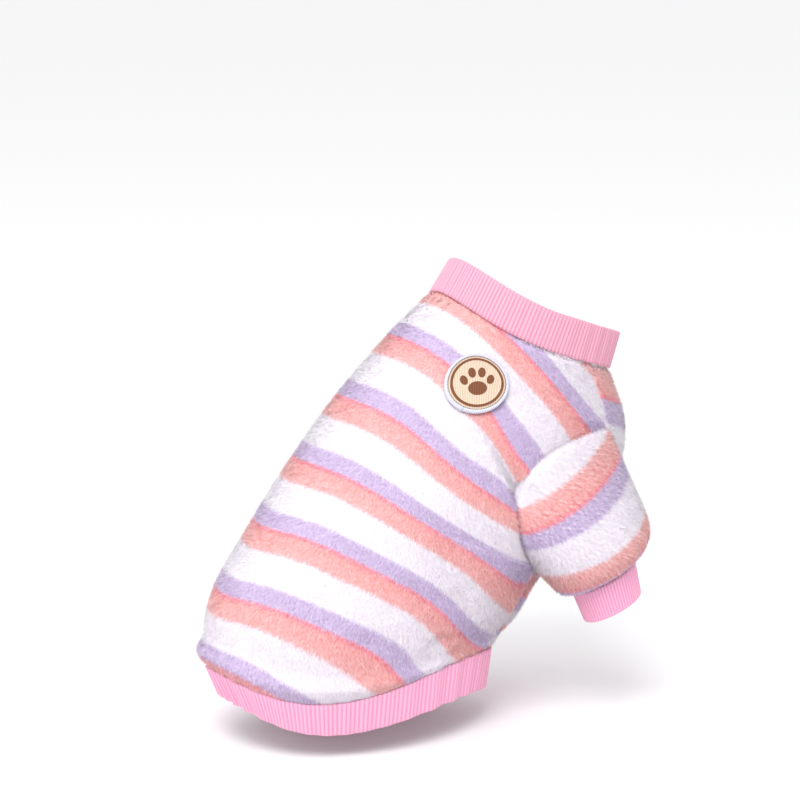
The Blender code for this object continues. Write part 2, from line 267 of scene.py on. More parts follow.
def new_object(name, points, corners, uv, shade, material):
    """A smooth mesh object from points in millimetres, quads or triangles, and two layers:
    the UV map "cloth", and the number "shade", which the material makes a tone of."""
    mesh = bpy.data.meshes.new(name)
    size = corners.shape[1]
    mesh.vertices.add(len(points))
    mesh.vertices.foreach_set("co", (points * MM).astype(np.float32).ravel())
    mesh.loops.add(corners.size)
    mesh.loops.foreach_set("vertex_index", corners.astype(np.int32).ravel())
    mesh.polygons.add(len(corners))
    starts = np.arange(len(corners), dtype=np.int32) * size
    mesh.polygons.foreach_set("loop_start", starts)
    mesh.update(calc_edges=True)
    layer = mesh.uv_layers.new(name="cloth")
    layer.data.foreach_set("uv", uv[corners.ravel()].astype(np.float32).ravel())
    layer = mesh.attributes.new("shade", "FLOAT", "POINT")
    layer.data.foreach_set("value", shade.astype(np.float32))
    mesh.shade_smooth()
    mesh.materials.append(material)
    made = bpy.data.objects.new(name, mesh)
    bpy.context.scene.collection.objects.link(made)
    return made


def fleece_shell(name, cloth, material):
    """A closed shell: the cloth's grid, the same grid moved in by the wall, and rims."""
    rows, columns = cloth.points.shape[:2]
    count = rows * columns
    inner = cloth.points - cloth.normals * FLEECE_WALL
    both = np.concatenate([cloth.points.reshape(-1, 3), inner.reshape(-1, 3)])
    outside = quads(rows, columns, cloth.closed)
    faces = [outside, (outside + count)[:, ::-1]]
    grid = np.arange(count).reshape(rows, columns)
    edges = [(grid[0], 1), (grid[-1], -1)]
    if not cloth.closed:
        edges += [(grid[:, 0], -1), (grid[:, -1], 1)]
    for line, way in edges:
        a, b = line[:-1], line[1:]
        if cloth.closed:
            a, b = line, np.roll(line, -1)
        rim = np.stack([b, a, a + count, b + count], axis=-1)
        faces.append(rim[:, ::way])
    # Painted shade on the outer face under the nap and on the inside.
    shade = np.repeat([SHELL_PAINTED_SHADE, INSIDE_PAINTED_SHADE], count)
    uv = np.tile(cloth.uv.reshape(-1, 2), (2, 1))
    return new_object(name, both, np.concatenate(faces), uv, shade, material)


# The nap is of fibres, each a narrow triangle with its root a little below the cloth's face.
# Their tones are those of two corners at the root and one at the tip: painted shade darkens the
# roots and painted light brightens the tips. The lift off the cloth is in degrees, and the roll
# about a fibre's own way in radians.
FIBRE_LENGTH = (1.8, 3.4)
FIBRE_HALF_WIDTH = 0.19
FIBRE_ROOT = 0.2
FIBRE_LIFT = (18, 58)
FIBRE_SCATTER = 0.22
FIBRE_ROLL = 0.9
FIBRE_LIGHT = 0.955
FIBRE_ROOT_SHADE_TIP_LIGHT = np.array([0.93, 0.93, 1.05])
TILT_LEAN = 0.25
TILT_SCATTER = 0.8
NAP_OVER_SEAM = 2.2
SEAM_LIFT = 0.35
TUFT_WAVES = 18
TUFT_SIZE = 2.4
TUFT_SPREAD = (0.6, 1.4)
TUFT_LIGHT = 0.028
STRIPE_REPEAT = 45.0

Roots = namedtuple("Roots", "points normals uv edge down inward")


def scattered(cloth, count, random):
    """Roots spread evenly by area: cells of the grid drawn by their area, and in each a
    place between its corners, with the unit ways down the cloth and in from its edge."""
    points, normals, uv, edge = (
        np.concatenate([part, part[:, :1]], axis=1) if cloth.closed else part
        for part in (cloth.points, cloth.normals, cloth.uv, cloth.edge[..., None])
    )
    down = points[1:, :-1] - points[:-1, :-1]
    across = points[:-1, 1:] - points[:-1, :-1]
    inward = sum(
        step * way / np.maximum((way * way).sum(-1, keepdims=True), 1e-6)
        for step, way in (
            (edge[1:, :-1] - edge[:-1, :-1], down),
            (edge[:-1, 1:] - edge[:-1, :-1], across),
        )
    )
    area = np.linalg.norm(np.cross(down, across), axis=-1)
    cell = random.choice(area.size, size=count, p=(area / area.sum()).ravel())
    i, j = np.divmod(cell, area.shape[1])
    u, v = random.random((2, count, 1))

    def between(part):
        top = part[i, j] * (1 - v) + part[i, j + 1] * v
        low = part[i + 1, j] * (1 - v) + part[i + 1, j + 1] * v
        return top * (1 - u) + low * u

    return Roots(
        between(points), unit(between(normals)), between(uv), between(edge),
        unit(down[i, j]), unit(inward[i, j]),
    )


def tufts(uv, random):
    """Sum of sine waves over the flat cloth, each about TUFT_SIZE long and in its own way."""
    way = random.uniform(0.0, 2.0 * math.pi, TUFT_WAVES)
    wave = 2.0 * math.pi / TUFT_SIZE * random.uniform(*TUFT_SPREAD, TUFT_WAVES)
    down, across = uv[:, :1] * STRIPE_REPEAT, uv[:, 1:] * STRIPE_REPEAT
    distance = down * np.cos(way) + across * np.sin(way)
    return np.sin(distance * wave + way).sum(axis=1, keepdims=True)


def nap(name, cloth, material, count, seed, uneven, bare=None):
    """Short plush fibres joined in one mesh, each leaning down the cloth:
    root + length * unit(sin(lift) normal + cos(lift) down). Near a sewn edge they lean over
    it, and so cover the seam. uneven is how much the fibres differ in lightness and in the
    way they face, and bare tells which roots are left out."""
    random = np.random.default_rng(seed)
    roots = scattered(cloth, count, random)
    lift = np.radians(random.uniform(*FIBRE_LIFT, (count, 1)))
    lean = roots.normals * np.sin(lift) + roots.down * np.cos(lift)
    near = np.exp(-((roots.edge / NAP_OVER_SEAM) ** 2))
    lean = lean * (1.0 - near) + (SEAM_LIFT * roots.normals - roots.inward) * near
    lean = unit(lean + random.normal(0, FIBRE_SCATTER, (count, 3)))
    flat = unit(np.cross(lean, roots.normals))
    roll = random.uniform(-FIBRE_ROLL, FIBRE_ROLL, (count, 1))
    half = (flat * np.cos(roll) + np.cross(flat, lean) * np.sin(roll)) * FIBRE_HALF_WIDTH
    length = random.uniform(*FIBRE_LENGTH, (count, 1))
    tuft = tufts(roots.uv, random)
    light = FIBRE_LIGHT + random.uniform(-uneven, uneven, (count, 1)) + TUFT_LIGHT * tuft
    stray = random.normal(0, TILT_SCATTER * uneven, (count, 3))
    tilt = unit(roots.normals + TILT_LEAN * lean + stray)
    base, tip = roots.points - roots.normals * FIBRE_ROOT, roots.points + lean * length
    fibres = np.stack([base - half, base + half, tip], axis=1)
    kept = slice(None) if bare is None else ~bare(roots.points)
    fibres, uv, light, tilt = (part[kept] for part in (fibres, roots.uv, light, tilt))
    corners = np.arange(3 * len(fibres)).reshape(-1, 3)
    # Painted shade at the roots and painted light at the tips, in place of the fibres' own
    # shadows.
    shade = (light * FIBRE_ROOT_SHADE_TIP_LIGHT).ravel()
    uv, tilt = np.repeat(uv, 3, axis=0), np.repeat(tilt, 3, axis=0)
    made = new_object(name, fibres.reshape(-1, 3), corners, uv, shade, material)
    made.data.normals_split_custom_set_from_vertices(tilt.tolist())
    layer = made.data.attributes.new("cloth_way", "FLOAT_VECTOR", "POINT")
    layer.data.foreach_set("vector", tilt.astype(np.float32).ravel())
    # The real pile is so fine that its own shadows don't show.
    made.visible_shadow = False
    return made


# One repeat of the stripes: lavender, a coral line, salmon and white.
ColourStop = namedtuple("ColourStop", "at red green blue")
STRIPE_STOPS = (
    ColourStop(at=0.000, red=0.640, green=0.525, blue=0.735),
    ColourStop(at=0.200, red=0.650, green=0.535, blue=0.745),
    ColourStop(at=0.225, red=0.925, green=0.310, blue=0.380),
    ColourStop(at=0.285, red=0.905, green=0.460, blue=0.450),
    ColourStop(at=0.515, red=0.905, green=0.505, blue=0.500),
    ColourStop(at=0.560, red=0.905, green=0.840, blue=0.915),
    ColourStop(at=0.955, red=0.905, green=0.850, blue=0.925),
    ColourStop(at=0.990, red=0.640, green=0.525, blue=0.745),
)
STRIPE_BLUR = 0.05
BLUR_SCALE = 26.0
DEEPENING = 2.2
DIMMING = 0.3


def new_group(name, inputs, outputs):
    """A shader group with these sockets: its tree, what it is given and what it gives."""
    tree = bpy.data.node_groups.new(name, "ShaderNodeTree")
    for way, sockets in (("INPUT", inputs), ("OUTPUT", outputs)):
        for socket, kind in sockets.items():
            tree.interface.new_socket(socket, in_out=way, socket_type=f"NodeSocket{kind}")
    given, result = tree.nodes.new("NodeGroupInput"), tree.nodes.new("NodeGroupOutput")
    return tree, given.outputs, result.inputs


def math_node(tree, operation, *values):
    """The result of a Math node whose values are numbers or other nodes' outputs."""
    node = tree.nodes.new("ShaderNodeMath")
    node.operation = operation
    for socket, value in zip(node.inputs, values):
        if isinstance(value, (int, float)):
            socket.default_value = value
        else:
            tree.links.new(value, socket)
    return node.outputs["Value"]


def scaled(tree, colour, share):
    """A colour times a number."""
    node = tree.nodes.new("ShaderNodeVectorMath")
    node.operation = "SCALE"
    tree.links.new(colour, node.inputs[0])
    tree.links.new(share, node.inputs["Scale"])
    return node.outputs["Vector"]


def colour_ramp(tree, value, stops, interpolation="LINEAR"):
    """The colour that a row of stops has at a value."""
    node = tree.nodes.new("ShaderNodeValToRGB")
    ramp = node.color_ramp
    ramp.interpolation = interpolation
    while len(ramp.elements) < len(stops):
        ramp.elements.new(0.5)
    for element, stop in zip(ramp.elements, stops):
        element.position = stop.at
        element.color = (stop.red, stop.green, stop.blue, 1.0)
    tree.links.new(value, node.inputs["Fac"])
    return node.outputs["Color"]


def attribute(tree, name, output):
    """A mesh attribute, as a number or a vector."""
    node = tree.nodes.new("ShaderNodeAttribute")
    node.attribute_name = name
    return node.outputs[output]


def cloth_place(tree):
    """The place on the flat cloth, from the UV map."""
    node = tree.nodes.new("ShaderNodeUVMap")
    node.uv_map = "cloth"
    return node.outputs["UV"]


def new_material(name, roughness, specular, sheen):
    """A material with this finish, its node tree and its shader."""
    material = bpy.data.materials.new(name)
    material.use_nodes = True
    shader = material.node_tree.nodes["Principled BSDF"]
    shader.inputs["Roughness"].default_value = roughness
    shader.inputs["Specular IOR Level"].default_value = specular
    shader.inputs["Sheen Weight"].default_value = sheen
    return material, material.node_tree, shader


def stripe_group():
    """Node group: the UV's first number, in stripe repeats and slightly blurred by noise,
    gives the stripe's colour, and the shade makes it deeper below 1 and paler above it:
    colour ^ (1 + DEEPENING (1 - shade)) * (1 - DIMMING (1 - shade))."""
    tree, given, result = new_group(
        "fleece stripes", {"Cloth": "Vector", "Shade": "Float"}, {"Color": "Color"}
    )
    noise = tree.nodes.new("ShaderNodeTexNoise")
    noise.inputs["Scale"].default_value = BLUR_SCALE
    noise.inputs["Detail"].default_value = 3.0
    tree.links.new(given["Cloth"], noise.inputs["Vector"])
    split = tree.nodes.new("ShaderNodeSeparateXYZ")
    tree.links.new(given["Cloth"], split.inputs["Vector"])
    blurred = (noise.outputs["Fac"], STRIPE_BLUR, split.outputs["X"])
    repeat = math_node(tree, "FRACT", math_node(tree, "MULTIPLY_ADD", *blurred))
    deeper = tree.nodes.new("ShaderNodeGamma")
    tree.links.new(colour_ramp(tree, repeat, STRIPE_STOPS), deeper.inputs["Color"])
    power = math_node(tree, "MULTIPLY_ADD", given["Shade"], -DEEPENING, 1.0 + DEEPENING)
    tree.links.new(power, deeper.inputs["Gamma"])
    share = math_node(tree, "MULTIPLY_ADD", given["Shade"], DIMMING, 1.0 - DIMMING)
    tree.links.new(scaled(tree, deeper.outputs["Color"], share), result["Color"])
    return tree


def fleece_material(name, stripes, lies=False):
    """Matt plush with a soft sheen, coloured by the stripes. A fibre lies on the cloth and
    catches light as the cloth there does, on both its sides."""
    material, tree, shader = new_material(name, roughness=0.95, specular=0.1, sheen=0.25)
    shader.inputs["Sheen Roughness"].default_value = 0.5
    striped = tree.nodes.new("ShaderNodeGroup")
    striped.node_tree = stripes
    tree.links.new(cloth_place(tree), striped.inputs["Cloth"])
    tree.links.new(attribute(tree, "shade", "Fac"), striped.inputs["Shade"])
    tree.links.new(striped.outputs["Color"], shader.inputs["Base Color"])
    if lies:
        tree.links.new(attribute(tree, "cloth_way", "Vector"), shader.inputs["Normal"])
    return material


# Where the back panel's stripes lie: millimetres down the cloth from the first lavender
# stripe, at places along the back and at turns from the spine of 0 to 180 degrees.
StripeRow = namedtuple("StripeRow", "at spine back flank side belly")
STRIPE_ROWS = (
    StripeRow(at=0.00, spine=8, back=7, flank=-6, side=-34, belly=-48),
    StripeRow(at=0.15, spine=53, back=50, flank=24, side=-5, belly=-4),
    StripeRow(at=0.30, spine=95, back=94, flank=71, side=38, belly=50),
    StripeRow(at=0.45, spine=138, back=140, flank=130, side=118, belly=110),
    StripeRow(at=0.60, spine=181, back=186, flank=178, side=153, belly=143),
    StripeRow(at=0.80, spine=234, back=238, flank=222, side=180, belly=163),
    StripeRow(at=1.00, spine=282, back=276, flank=244, side=196, belly=176),
)
STRIPE_TURNS = np.radians([0.0, 40.0, 80.0, 120.0, 180.0])
STRIPE_START = 5.0
TAKEN_IN = 8.0
TAKEN_IN_SWITCH = 1.5
TAKEN_IN_REACH = 15.0
TAKEN_IN_FULL = 18.0
TAKEN_IN_FADE = 22.0


def taken_in(at, turn):
    """How far the deepest fold pulls the stripes in from its two sides, in millimetres:
    TAKEN_IN * tanh(side / switch) * exp(-(side / reach)^2), dying out at the fold's end."""
    start, way = crease_line(CREASES[0])
    way = way / np.linalg.norm(way)
    s, c = at * BACK_LENGTH - start[0], np.abs(turn) * BODY_RADIUS - start[1]
    beyond = np.maximum(s * way[0] + c * way[1] - TAKEN_IN_FULL, 0.0)
    side = c * way[0] - s * way[1]
    pulled = np.tanh(side / TAKEN_IN_SWITCH) * np.exp(-((side / TAKEN_IN_REACH) ** 2))
    return TAKEN_IN * pulled * np.exp(-((beyond / TAKEN_IN_FADE) ** 2))


def back_stripes(at, turn):
    """Stripe repeats at a place: smooth along the back at five turns, then between them."""
    at, turn = np.broadcast_arrays(at, turn)
    columns = [along(name, at, STRIPE_ROWS) for name in StripeRow._fields[1:]]
    lines = np.stack(columns, axis=-1)
    slope = np.gradient(lines, STRIPE_TURNS, axis=-1)
    slope[..., 0] = 0.0
    angle = np.abs(turn)
    k = np.clip(np.searchsorted(STRIPE_TURNS, angle, side="right") - 1, 0, 3)
    step = STRIPE_TURNS[k + 1] - STRIPE_TURNS[k]
    low, high, rise, fall = (
        np.take_along_axis(table, (k + after)[..., None], axis=-1)[..., 0]
        for table, after in ((lines, 0), (lines, 1), (slope, 0), (slope, 1))
    )
    down = cubic(low, high, rise * step, fall * step, (angle - STRIPE_TURNS[k]) / step)
    return (down + STRIPE_START + taken_in(at, turn)) / STRIPE_REPEAT


BACK_COLUMNS = 221
BACK_HALF_WIDTH = 180.0
BACK_HEM_SHARE = 0.8
BACK_FIBRES = 170000
BACK_SEEDS = (31, 51)
PATCH_AT = 0.157
PATCH_TURN = 54
PATCH_RADIUS = 18.0
PATCH_LAP = 1.0
patch_middle = body(PATCH_AT, math.radians(PATCH_TURN))


def under_patch(points):
    """Whether points lie under the patch, where the cloth has no nap."""
    return np.linalg.norm(points - patch_middle, axis=-1) < PATCH_RADIUS - PATCH_LAP


stripes = stripe_group()
fleece = fleece_material("striped plush fleece", stripes)
plush = fleece_material("striped plush nap", stripes, lies=True)

at = panel_rows(before=16, beside=68, after=52)
share = np.linspace(-1.0, 1.0, BACK_COLUMNS)[None, :]
cut = notch(at, ARMHOLE_UP) * np.abs(share) * share
turn = -((seam_turn(at) - half_gap(at)) * share - cut)
back_cloth = sewn_cloth(
    body(at, turn),
    cloth_map(back_stripes(at, turn), turn * BODY_RADIUS / STRIPE_REPEAT),
    panel_edge(at, share, BACK_HALF_WIDTH, BACK_LENGTH, BACK_HEM_SHARE),
)
back_panel = fleece_shell("back_panel_cloth", back_cloth, fleece)
back_naps = [
    nap(
        f"back_panel_nap_{number}", back_cloth, plush,
        count=BACK_FIBRES, seed=seed, uneven=0.15, bare=under_patch,
    )
    for number, seed in enumerate(BACK_SEEDS, start=1)
]
for piece in (back_panel, *back_naps):
    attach(piece, "root")
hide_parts("back_panel")

# ---------------------------------------------------------------------------------------
# Chest panel: the narrow piece under the chest and belly, cut the other way up, so that its
# salmon stripes lie on the head side of the lavender ones.

CHEST_LENGTH = 197.0
CHEST_HALF_WIDTH = 50.0
CHEST_HEM_SHARE = 0.4
CHEST_COLUMNS = 61
CHEST_REPEAT = 47.0
CHEST_STRIPE_START = 25.0
CHEST_FIBRES = 68000

at = panel_rows(before=14, beside=40, after=36)
share = np.linspace(-1.0, 1.0, CHEST_COLUMNS)[None, :]
half_panel = math.pi - seam_turn(at) - notch(at, ARMHOLE_DOWN) - half_gap(at)
turn = math.pi - half_panel * share
repeats = (CHEST_STRIPE_START - at * CHEST_LENGTH) / CHEST_REPEAT
chest_cloth = sewn_cloth(
    body(at, turn),
    cloth_map(repeats, turn * BODY_RADIUS / STRIPE_REPEAT),
    panel_edge(at, share, CHEST_HALF_WIDTH, CHEST_LENGTH, CHEST_HEM_SHARE),
)
chest_panel = fleece_shell("chest_panel_cloth", chest_cloth, fleece)
chest_nap = nap(
    "chest_panel_nap", chest_cloth, plush, count=CHEST_FIBRES, seed=12, uneven=0.18
)
for piece in (chest_panel, chest_nap):
    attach(piece, "root")
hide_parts("chest_panel")

# ---------------------------------------------------------------------------------------
# Sleeves: short tubes of the same fleece, set into the armholes and gathered at the cuffs.
# The cloth puffs out by a share of its own length, less on the side next to the chest.

SleeveEnd = namedtuple("SleeveEnd", "x y z lean splay radius")
SLEEVE_END = SleeveEnd(x=115, y=58, z=-126, lean=64, splay=12, radius=20)
SEAM_GAP = 0.4
SLEEVE_PUFF = 4.0
SLEEVE_EASE = 0.17
SLEEVE_INNER = 1.1
SLEEVE_GATHERS = 23
SLEEVE_GATHER = 0.9

# The powers with which the puff starts and ends, and the body's creases end on the sleeve.
PUFF_START = 0.7
PUFF_END = 12
CREASE_END = 8

# The left sleeve is turned back about the shoulder by a few degrees, to clear the chest.
SHOULDER_X = 101.0
SHOULDER_Z = -73.0
Side = namedtuple("Side", "word sign swing seed")
SIDES = (
    Side(word="right", sign=1, swing=0.0, seed=21),
    Side(word="left", sign=-1, swing=12.0, seed=19),
)


def smooth_step(u):
    """u^2 (3 - 2 u), held between 0 and 1."""
    u = np.clip(u, 0.0, 1.0)
    return u * u * (3.0 - 2.0 * u)


def body_normal(at, turn):
    """Unit normal of the body's outer face, from small steps along it and round it."""
    step = 2e-3
    down = body(at + step, turn) - body(at - step, turn)
    round_it = body(at, turn + step) - body(at, turn - step)
    return unit(np.cross(down, round_it))


def armhole(angle, creased=1.0):
    """The armhole's edge on the right: 0 is its front, a quarter turn its upper side."""
    u = -np.cos(angle)
    at = ARMHOLE_AT + (ARMHOLE_REACH - SEAM_GAP / BACK_LENGTH) * u
    size = np.radians(np.where(np.sin(angle) > 0, ARMHOLE_UP, ARMHOLE_DOWN))
    size = (size - SEAM_GAP / BODY_RADIUS) * -np.sign(np.sin(angle))
    turn = seam_turn(at) + size * np.abs(np.sin(angle)) ** (2.0 * armhole_point(u))
    return body(at, turn, creased) - body_normal(at, turn) * NAP_DEPTH


def swung_back(points, degrees):
    """Points turned back about the shoulder."""
    bend = np.radians(degrees)
    dx = points[..., 0] - SHOULDER_X
    dz = points[..., 2] - SHOULDER_Z
    x = SHOULDER_X + np.cos(bend) * dx + np.sin(bend) * dz
    z = SHOULDER_Z - np.sin(bend) * dx + np.cos(bend) * dz
    return np.stack([x, points[..., 1], z], axis=-1)


def sleeve_end(angle):
    """The cuff seam's ring on the right, and the unit directions out of it."""
    lean, splay = math.radians(SLEEVE_END.lean), math.radians(SLEEVE_END.splay)
    fore = np.array([math.sin(lean), 0.0, math.cos(lean)])
    outward = np.array([0.0, -math.cos(splay), math.sin(splay)])
    out = np.cos(angle)[..., None] * fore + np.sin(angle)[..., None] * outward
    centre = np.array([SLEEVE_END.x, -SLEEVE_END.y, SLEEVE_END.z])
    return centre + out * SLEEVE_END.radius, out


def sleeve(at, angle, swing):
    """Outer face of the right sleeve, from the armhole's edge to the cuff seam.

    start + way * at + out * (puff * at^PUFF_START * (1 - at^PUFF_END) + gathers), the way
    being from the armhole to the cuff seam at each place round it. The body's creases go on
    over the seam and fade out as (1 - at)^CREASE_END.
    """
    at, angle = np.broadcast_arrays(at, angle)
    start = armhole(angle, creased=0.0)
    pressed = (armhole(angle) - start) * ((1.0 - at) ** CREASE_END)[..., None]
    end, out = sleeve_end(angle)
    way = swung_back(end, swing) - start
    puff = SLEEVE_PUFF + SLEEVE_EASE * np.linalg.norm(way, axis=-1)
    puff = puff * (1.0 + SLEEVE_INNER * np.minimum(np.sin(angle), 0.0))
    wave = np.sin(SLEEVE_GATHERS * angle + 1.3 * np.sin(4 * angle))
    wave = wave * (1.0 + 0.4 * np.sin(2 * angle)) * at**5 * (1.15 - at**PUFF_END)
    swell = puff * at**PUFF_START * (1.0 - at**PUFF_END) + SLEEVE_GATHER * wave
    return start + pressed + way * at[..., None] + out * swell[..., None]


# Sleeve stripes are cut straight across, on planes that face down and a little forward, and
# the head of the sleeve is all white. The distance to a seam takes the sleeve as 60 mm long
# from the armhole and as 90 mm long from the cuff.
SLEEVE_STRIPE_WAY = np.array([0.47, 0.0, -0.90])
SLEEVE_STRIPE_START = 120.5
SLEEVE_TOP_WHITE = 0.92
SLEEVE_ROWS = 56
SLEEVE_COLUMNS = 168
SLEEVE_RADIUS = 30.0
SLEEVE_HEAD = 0.125
ARMHOLE_LENGTH = 60.0
CUFF_LENGTH = 90.0
SLEEVE_FIBRES = 64000

at = np.sin(np.linspace(0.0, 0.5 * math.pi, SLEEVE_ROWS))[:, None]
angle = np.linspace(0.0, 2 * math.pi, SLEEVE_COLUMNS, endpoint=False)[None, :]
for side in SIDES:
    points = sleeve(at, angle, side.swing)
    down = SLEEVE_STRIPE_START - sleeve(at, angle, 0.0) @ SLEEVE_STRIPE_WAY
    repeats = np.minimum(down / CHEST_REPEAT, SLEEVE_TOP_WHITE)
    if side.sign < 0:
        points = (points * [1, -1, 1])[:, ::-1]
        repeats = repeats[:, ::-1]
    sleeve_cloth = sewn_cloth(
        points,
        cloth_map(repeats, angle * SLEEVE_RADIUS / STRIPE_REPEAT),
        np.minimum(at * ARMHOLE_LENGTH, (1.0 - at) * CUFF_LENGTH),
        closed=True,
        depth=NAP_DEPTH * smooth_step(at / SLEEVE_HEAD),
    )
    cloth = fleece_shell(f"sleeve_{side.word}_cloth", sleeve_cloth, fleece)
    fuzz = nap(
        f"sleeve_{side.word}_nap", sleeve_cloth, plush,
        count=SLEEVE_FIBRES, seed=side.seed, uneven=0.22,
    )
    for piece in (cloth, fuzz):
        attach(piece, "root")
    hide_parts(f"sleeve_{side.word}")

# ---------------------------------------------------------------------------------------
# Rib bands: collar, cuffs and hem are tubes of pink 1x1 rib knit, folded double, with the
# fold at the free edge. Ridges run along the tube, with a narrow groove between them, its
# colour darkened as painted shade.

RIB_WALL = 2.2
RIB_HEIGHT = 0.55
RIB_STITCH = 1.1
RIB_COLUMNS = 7
OUTER_ROWS = 12
FOLD_ROWS = 5
INNER_ROWS = 6
RIB_LOSS = 0.7

# The yarn's colour on the crown, and painted shade in the groove, by how far from a ridge's
# middle they are, in ribs. The collar has its own copy, darker all over as painted shade.
CROWN_TO = 0.16
SHADED_GROOVE_FROM = 0.46
RIB_COLOURS_AND_GROOVE_SHADE = {
    "pink": (
        ColourStop(at=CROWN_TO, red=0.790, green=0.395, blue=0.550),
        ColourStop(at=SHADED_GROOVE_FROM, red=0.730, green=0.280, blue=0.450),
    ),
    # Painted shade: the collar's copy of the same pink yarn is darker all over.
    "shaded pink": (
        ColourStop(at=CROWN_TO, red=0.690, green=0.350, blue=0.450),
        ColourStop(at=SHADED_GROOVE_FROM, red=0.640, green=0.250, blue=0.360),
    ),
}


def rib_group(tone):
    """Node group: the UV's first number counts ridges, and its second the stitches. It gives
    the yarn's colour, with painted shade in the grooves, and the stitches' height, a slanted
    sine."""
    tree, given, result = new_group(
        f"{tone} rib knit", {"Cloth": "Vector"}, {"Color": "Color", "Height": "Float"}
    )
    split = tree.nodes.new("ShaderNodeSeparateXYZ")
    tree.links.new(given["Cloth"], split.inputs["Vector"])
    on_rib = math_node(tree, "SUBTRACT", math_node(tree, "FRACT", split.outputs["X"]), 0.5)
    across = math_node(tree, "ABSOLUTE", on_rib)
    slanted = math_node(tree, "ADD", split.outputs["Y"], across)
    stitch = math_node(tree, "SINE", math_node(tree, "MULTIPLY", slanted, 2 * math.pi))
    # The groove's darker colour is painted shade.
    tree.links.new(colour_ramp(tree, across, RIB_COLOURS_AND_GROOVE_SHADE[tone]), result["Color"])
    tree.links.new(math_node(tree, "MULTIPLY", stitch, 0.5), result["Height"])
    return tree


def bump(tree, shader, height, strength, distance):
    """Bends the shader's normal by a height, distance being the metres of a height of 1."""
    node = tree.nodes.new("ShaderNodeBump")
    node.inputs["Strength"].default_value = strength
    node.inputs["Distance"].default_value = distance
    tree.links.new(height, node.inputs["Height"])
    tree.links.new(node.outputs["Normal"], shader.inputs["Normal"])


def rib_material(tone):
    """Soft matt yarn with the stitches as a slight bump."""
    material, tree, shader = new_material(
        f"{tone} rib", roughness=0.85, specular=0.2, sheen=0.15
    )
    knit = tree.nodes.new("ShaderNodeGroup")
    knit.node_tree = rib_group(tone)
    tree.links.new(cloth_place(tree), knit.inputs["Cloth"])
    tree.links.new(knit.outputs["Color"], shader.inputs["Base Color"])
    bump(tree, shader, knit.outputs["Height"], strength=0.35, distance=0.0003)
    return material


def rib_band(name, surface, ribs, length, material):
    """A doubled band as a closed ring. Its section goes down the outer face, round the fold,
    up the inner face and back across the seam. Across a rib, the ridge is
    1 - (2 |u - 1/2|)^3, and it loses RIB_LOSS of its height round the fold and inside."""
    columns = ribs * RIB_COLUMNS
    angle = np.linspace(0.0, 2 * math.pi, columns, endpoint=False)[None, :]
    fold = np.linspace(0.0, math.pi, FOLD_ROWS + 2)[1:-1]
    reach = 0.5 * RIB_WALL / length
    down = np.concatenate([
        np.linspace(0.0, 1.0 - reach, OUTER_ROWS),
        1.0 - reach + reach * np.sin(fold),
        np.linspace(1.0 - reach, 0.0, INNER_ROWS),
    ])[:, None]
    depth = np.concatenate([
        np.zeros(OUTER_ROWS),
        0.5 - 0.5 * np.cos(fold),
        np.ones(INNER_ROWS),
    ])[:, None]
    ends = grid_normals(surface(np.array([[0.0], [1.0]]), angle), True)
    normal = ends[:1] * (1.0 - down[..., None]) + ends[1:] * down[..., None]
    turns = angle * ribs / (2 * math.pi)
    ridge = 1.0 - (2.0 * np.abs(turns % 1.0 - 0.5)) ** 3
    at_fold = smooth_step((down - 1.0 + 2.0 * reach) / (2.0 * reach))
    sunk = RIB_HEIGHT * (1.0 - ridge) * (1.0 - RIB_LOSS * np.maximum(depth, at_fold))
    inward = sunk + depth * (RIB_WALL - RIB_HEIGHT * 0.5)
    points = surface(down, angle) - normal * inward[..., None]
    rows = len(down)
    first = np.arange(columns)
    last = first + (rows - 1) * columns
    across_seam = np.stack([last, np.roll(last, -1), np.roll(first, -1), first], axis=-1)
    corners = np.concatenate([quads(rows, columns, True), across_seam])
    uv = cloth_map(turns, down * length / RIB_STITCH).reshape(-1, 2)
    shade = np.ones(rows * columns)
    return new_object(name, points.reshape(-1, 3), corners, uv, shade, material)


def carried(row, ring, shrink, wave, rise):
    """A seam's ring of points carried along the axis of its row of the body's table:
    centre + (ring - centre) * shrink + out * wave + axis * rise."""
    lean = math.radians(row.lean)
    axis = np.array([math.cos(lean), 0.0, math.sin(lean)])
    centre = np.array([row.x, 0.0, row.z])
    spoke = (ring - centre) * shrink[..., None]
    return centre + spoke + unit(spoke) * wave[..., None] + axis * rise[..., None]


# Collar: stands up from the neck seam, slightly narrower at its free edge.
COLLAR_HEIGHT = 22.0
COLLAR_TAPER = 3.0
COLLAR_WAVE = 0.35
COLLAR_RIBS = 150


def collar_surface(down, angle):
    """The neck seam carried up, down being 1 at the free edge."""
    row = BODY_RINGS[0]
    shrink = 1.0 - COLLAR_TAPER / row.depth * down
    wave = COLLAR_WAVE * np.sin(5 * angle + 0.7) * down
    return carried(row, body(0.0, angle), shrink, wave, SEAM_GAP + COLLAR_HEIGHT * down)


# Hem band: hangs from the hem seam, longer under the belly than at the spine.
HEM_HEIGHT = 21.5
HEM_LONGER = 3.5
HEM_TAPER = 3.0
HEM_TUCK = 6.0
HEM_WAVE = 0.5
HEM_RIBS = 204


def hem_surface(down, angle):
    """The hem seam carried down, down being 1 at the free edge."""
    row = BODY_RINGS[-1]
    narrowing = HEM_TAPER + HEM_TUCK * np.maximum(np.cos(angle), 0.0)
    shrink = 1.0 - narrowing / row.depth * down
    wave = HEM_WAVE * np.sin(6 * angle + 0.4) * down
    drop = SEAM_GAP + (HEM_HEIGHT - HEM_LONGER * np.cos(angle)) * down
    return carried(row, body(1.0, -angle), shrink, wave, -drop)


# Cuffs: hang from the sleeves' ends, down and slightly forward.
CUFF_HEIGHT = 19.0
CUFF_TAPER = 2.0
CUFF_FORE = 5.0
CUFF_OUT = 3.0
CUFF_RIBS = 64


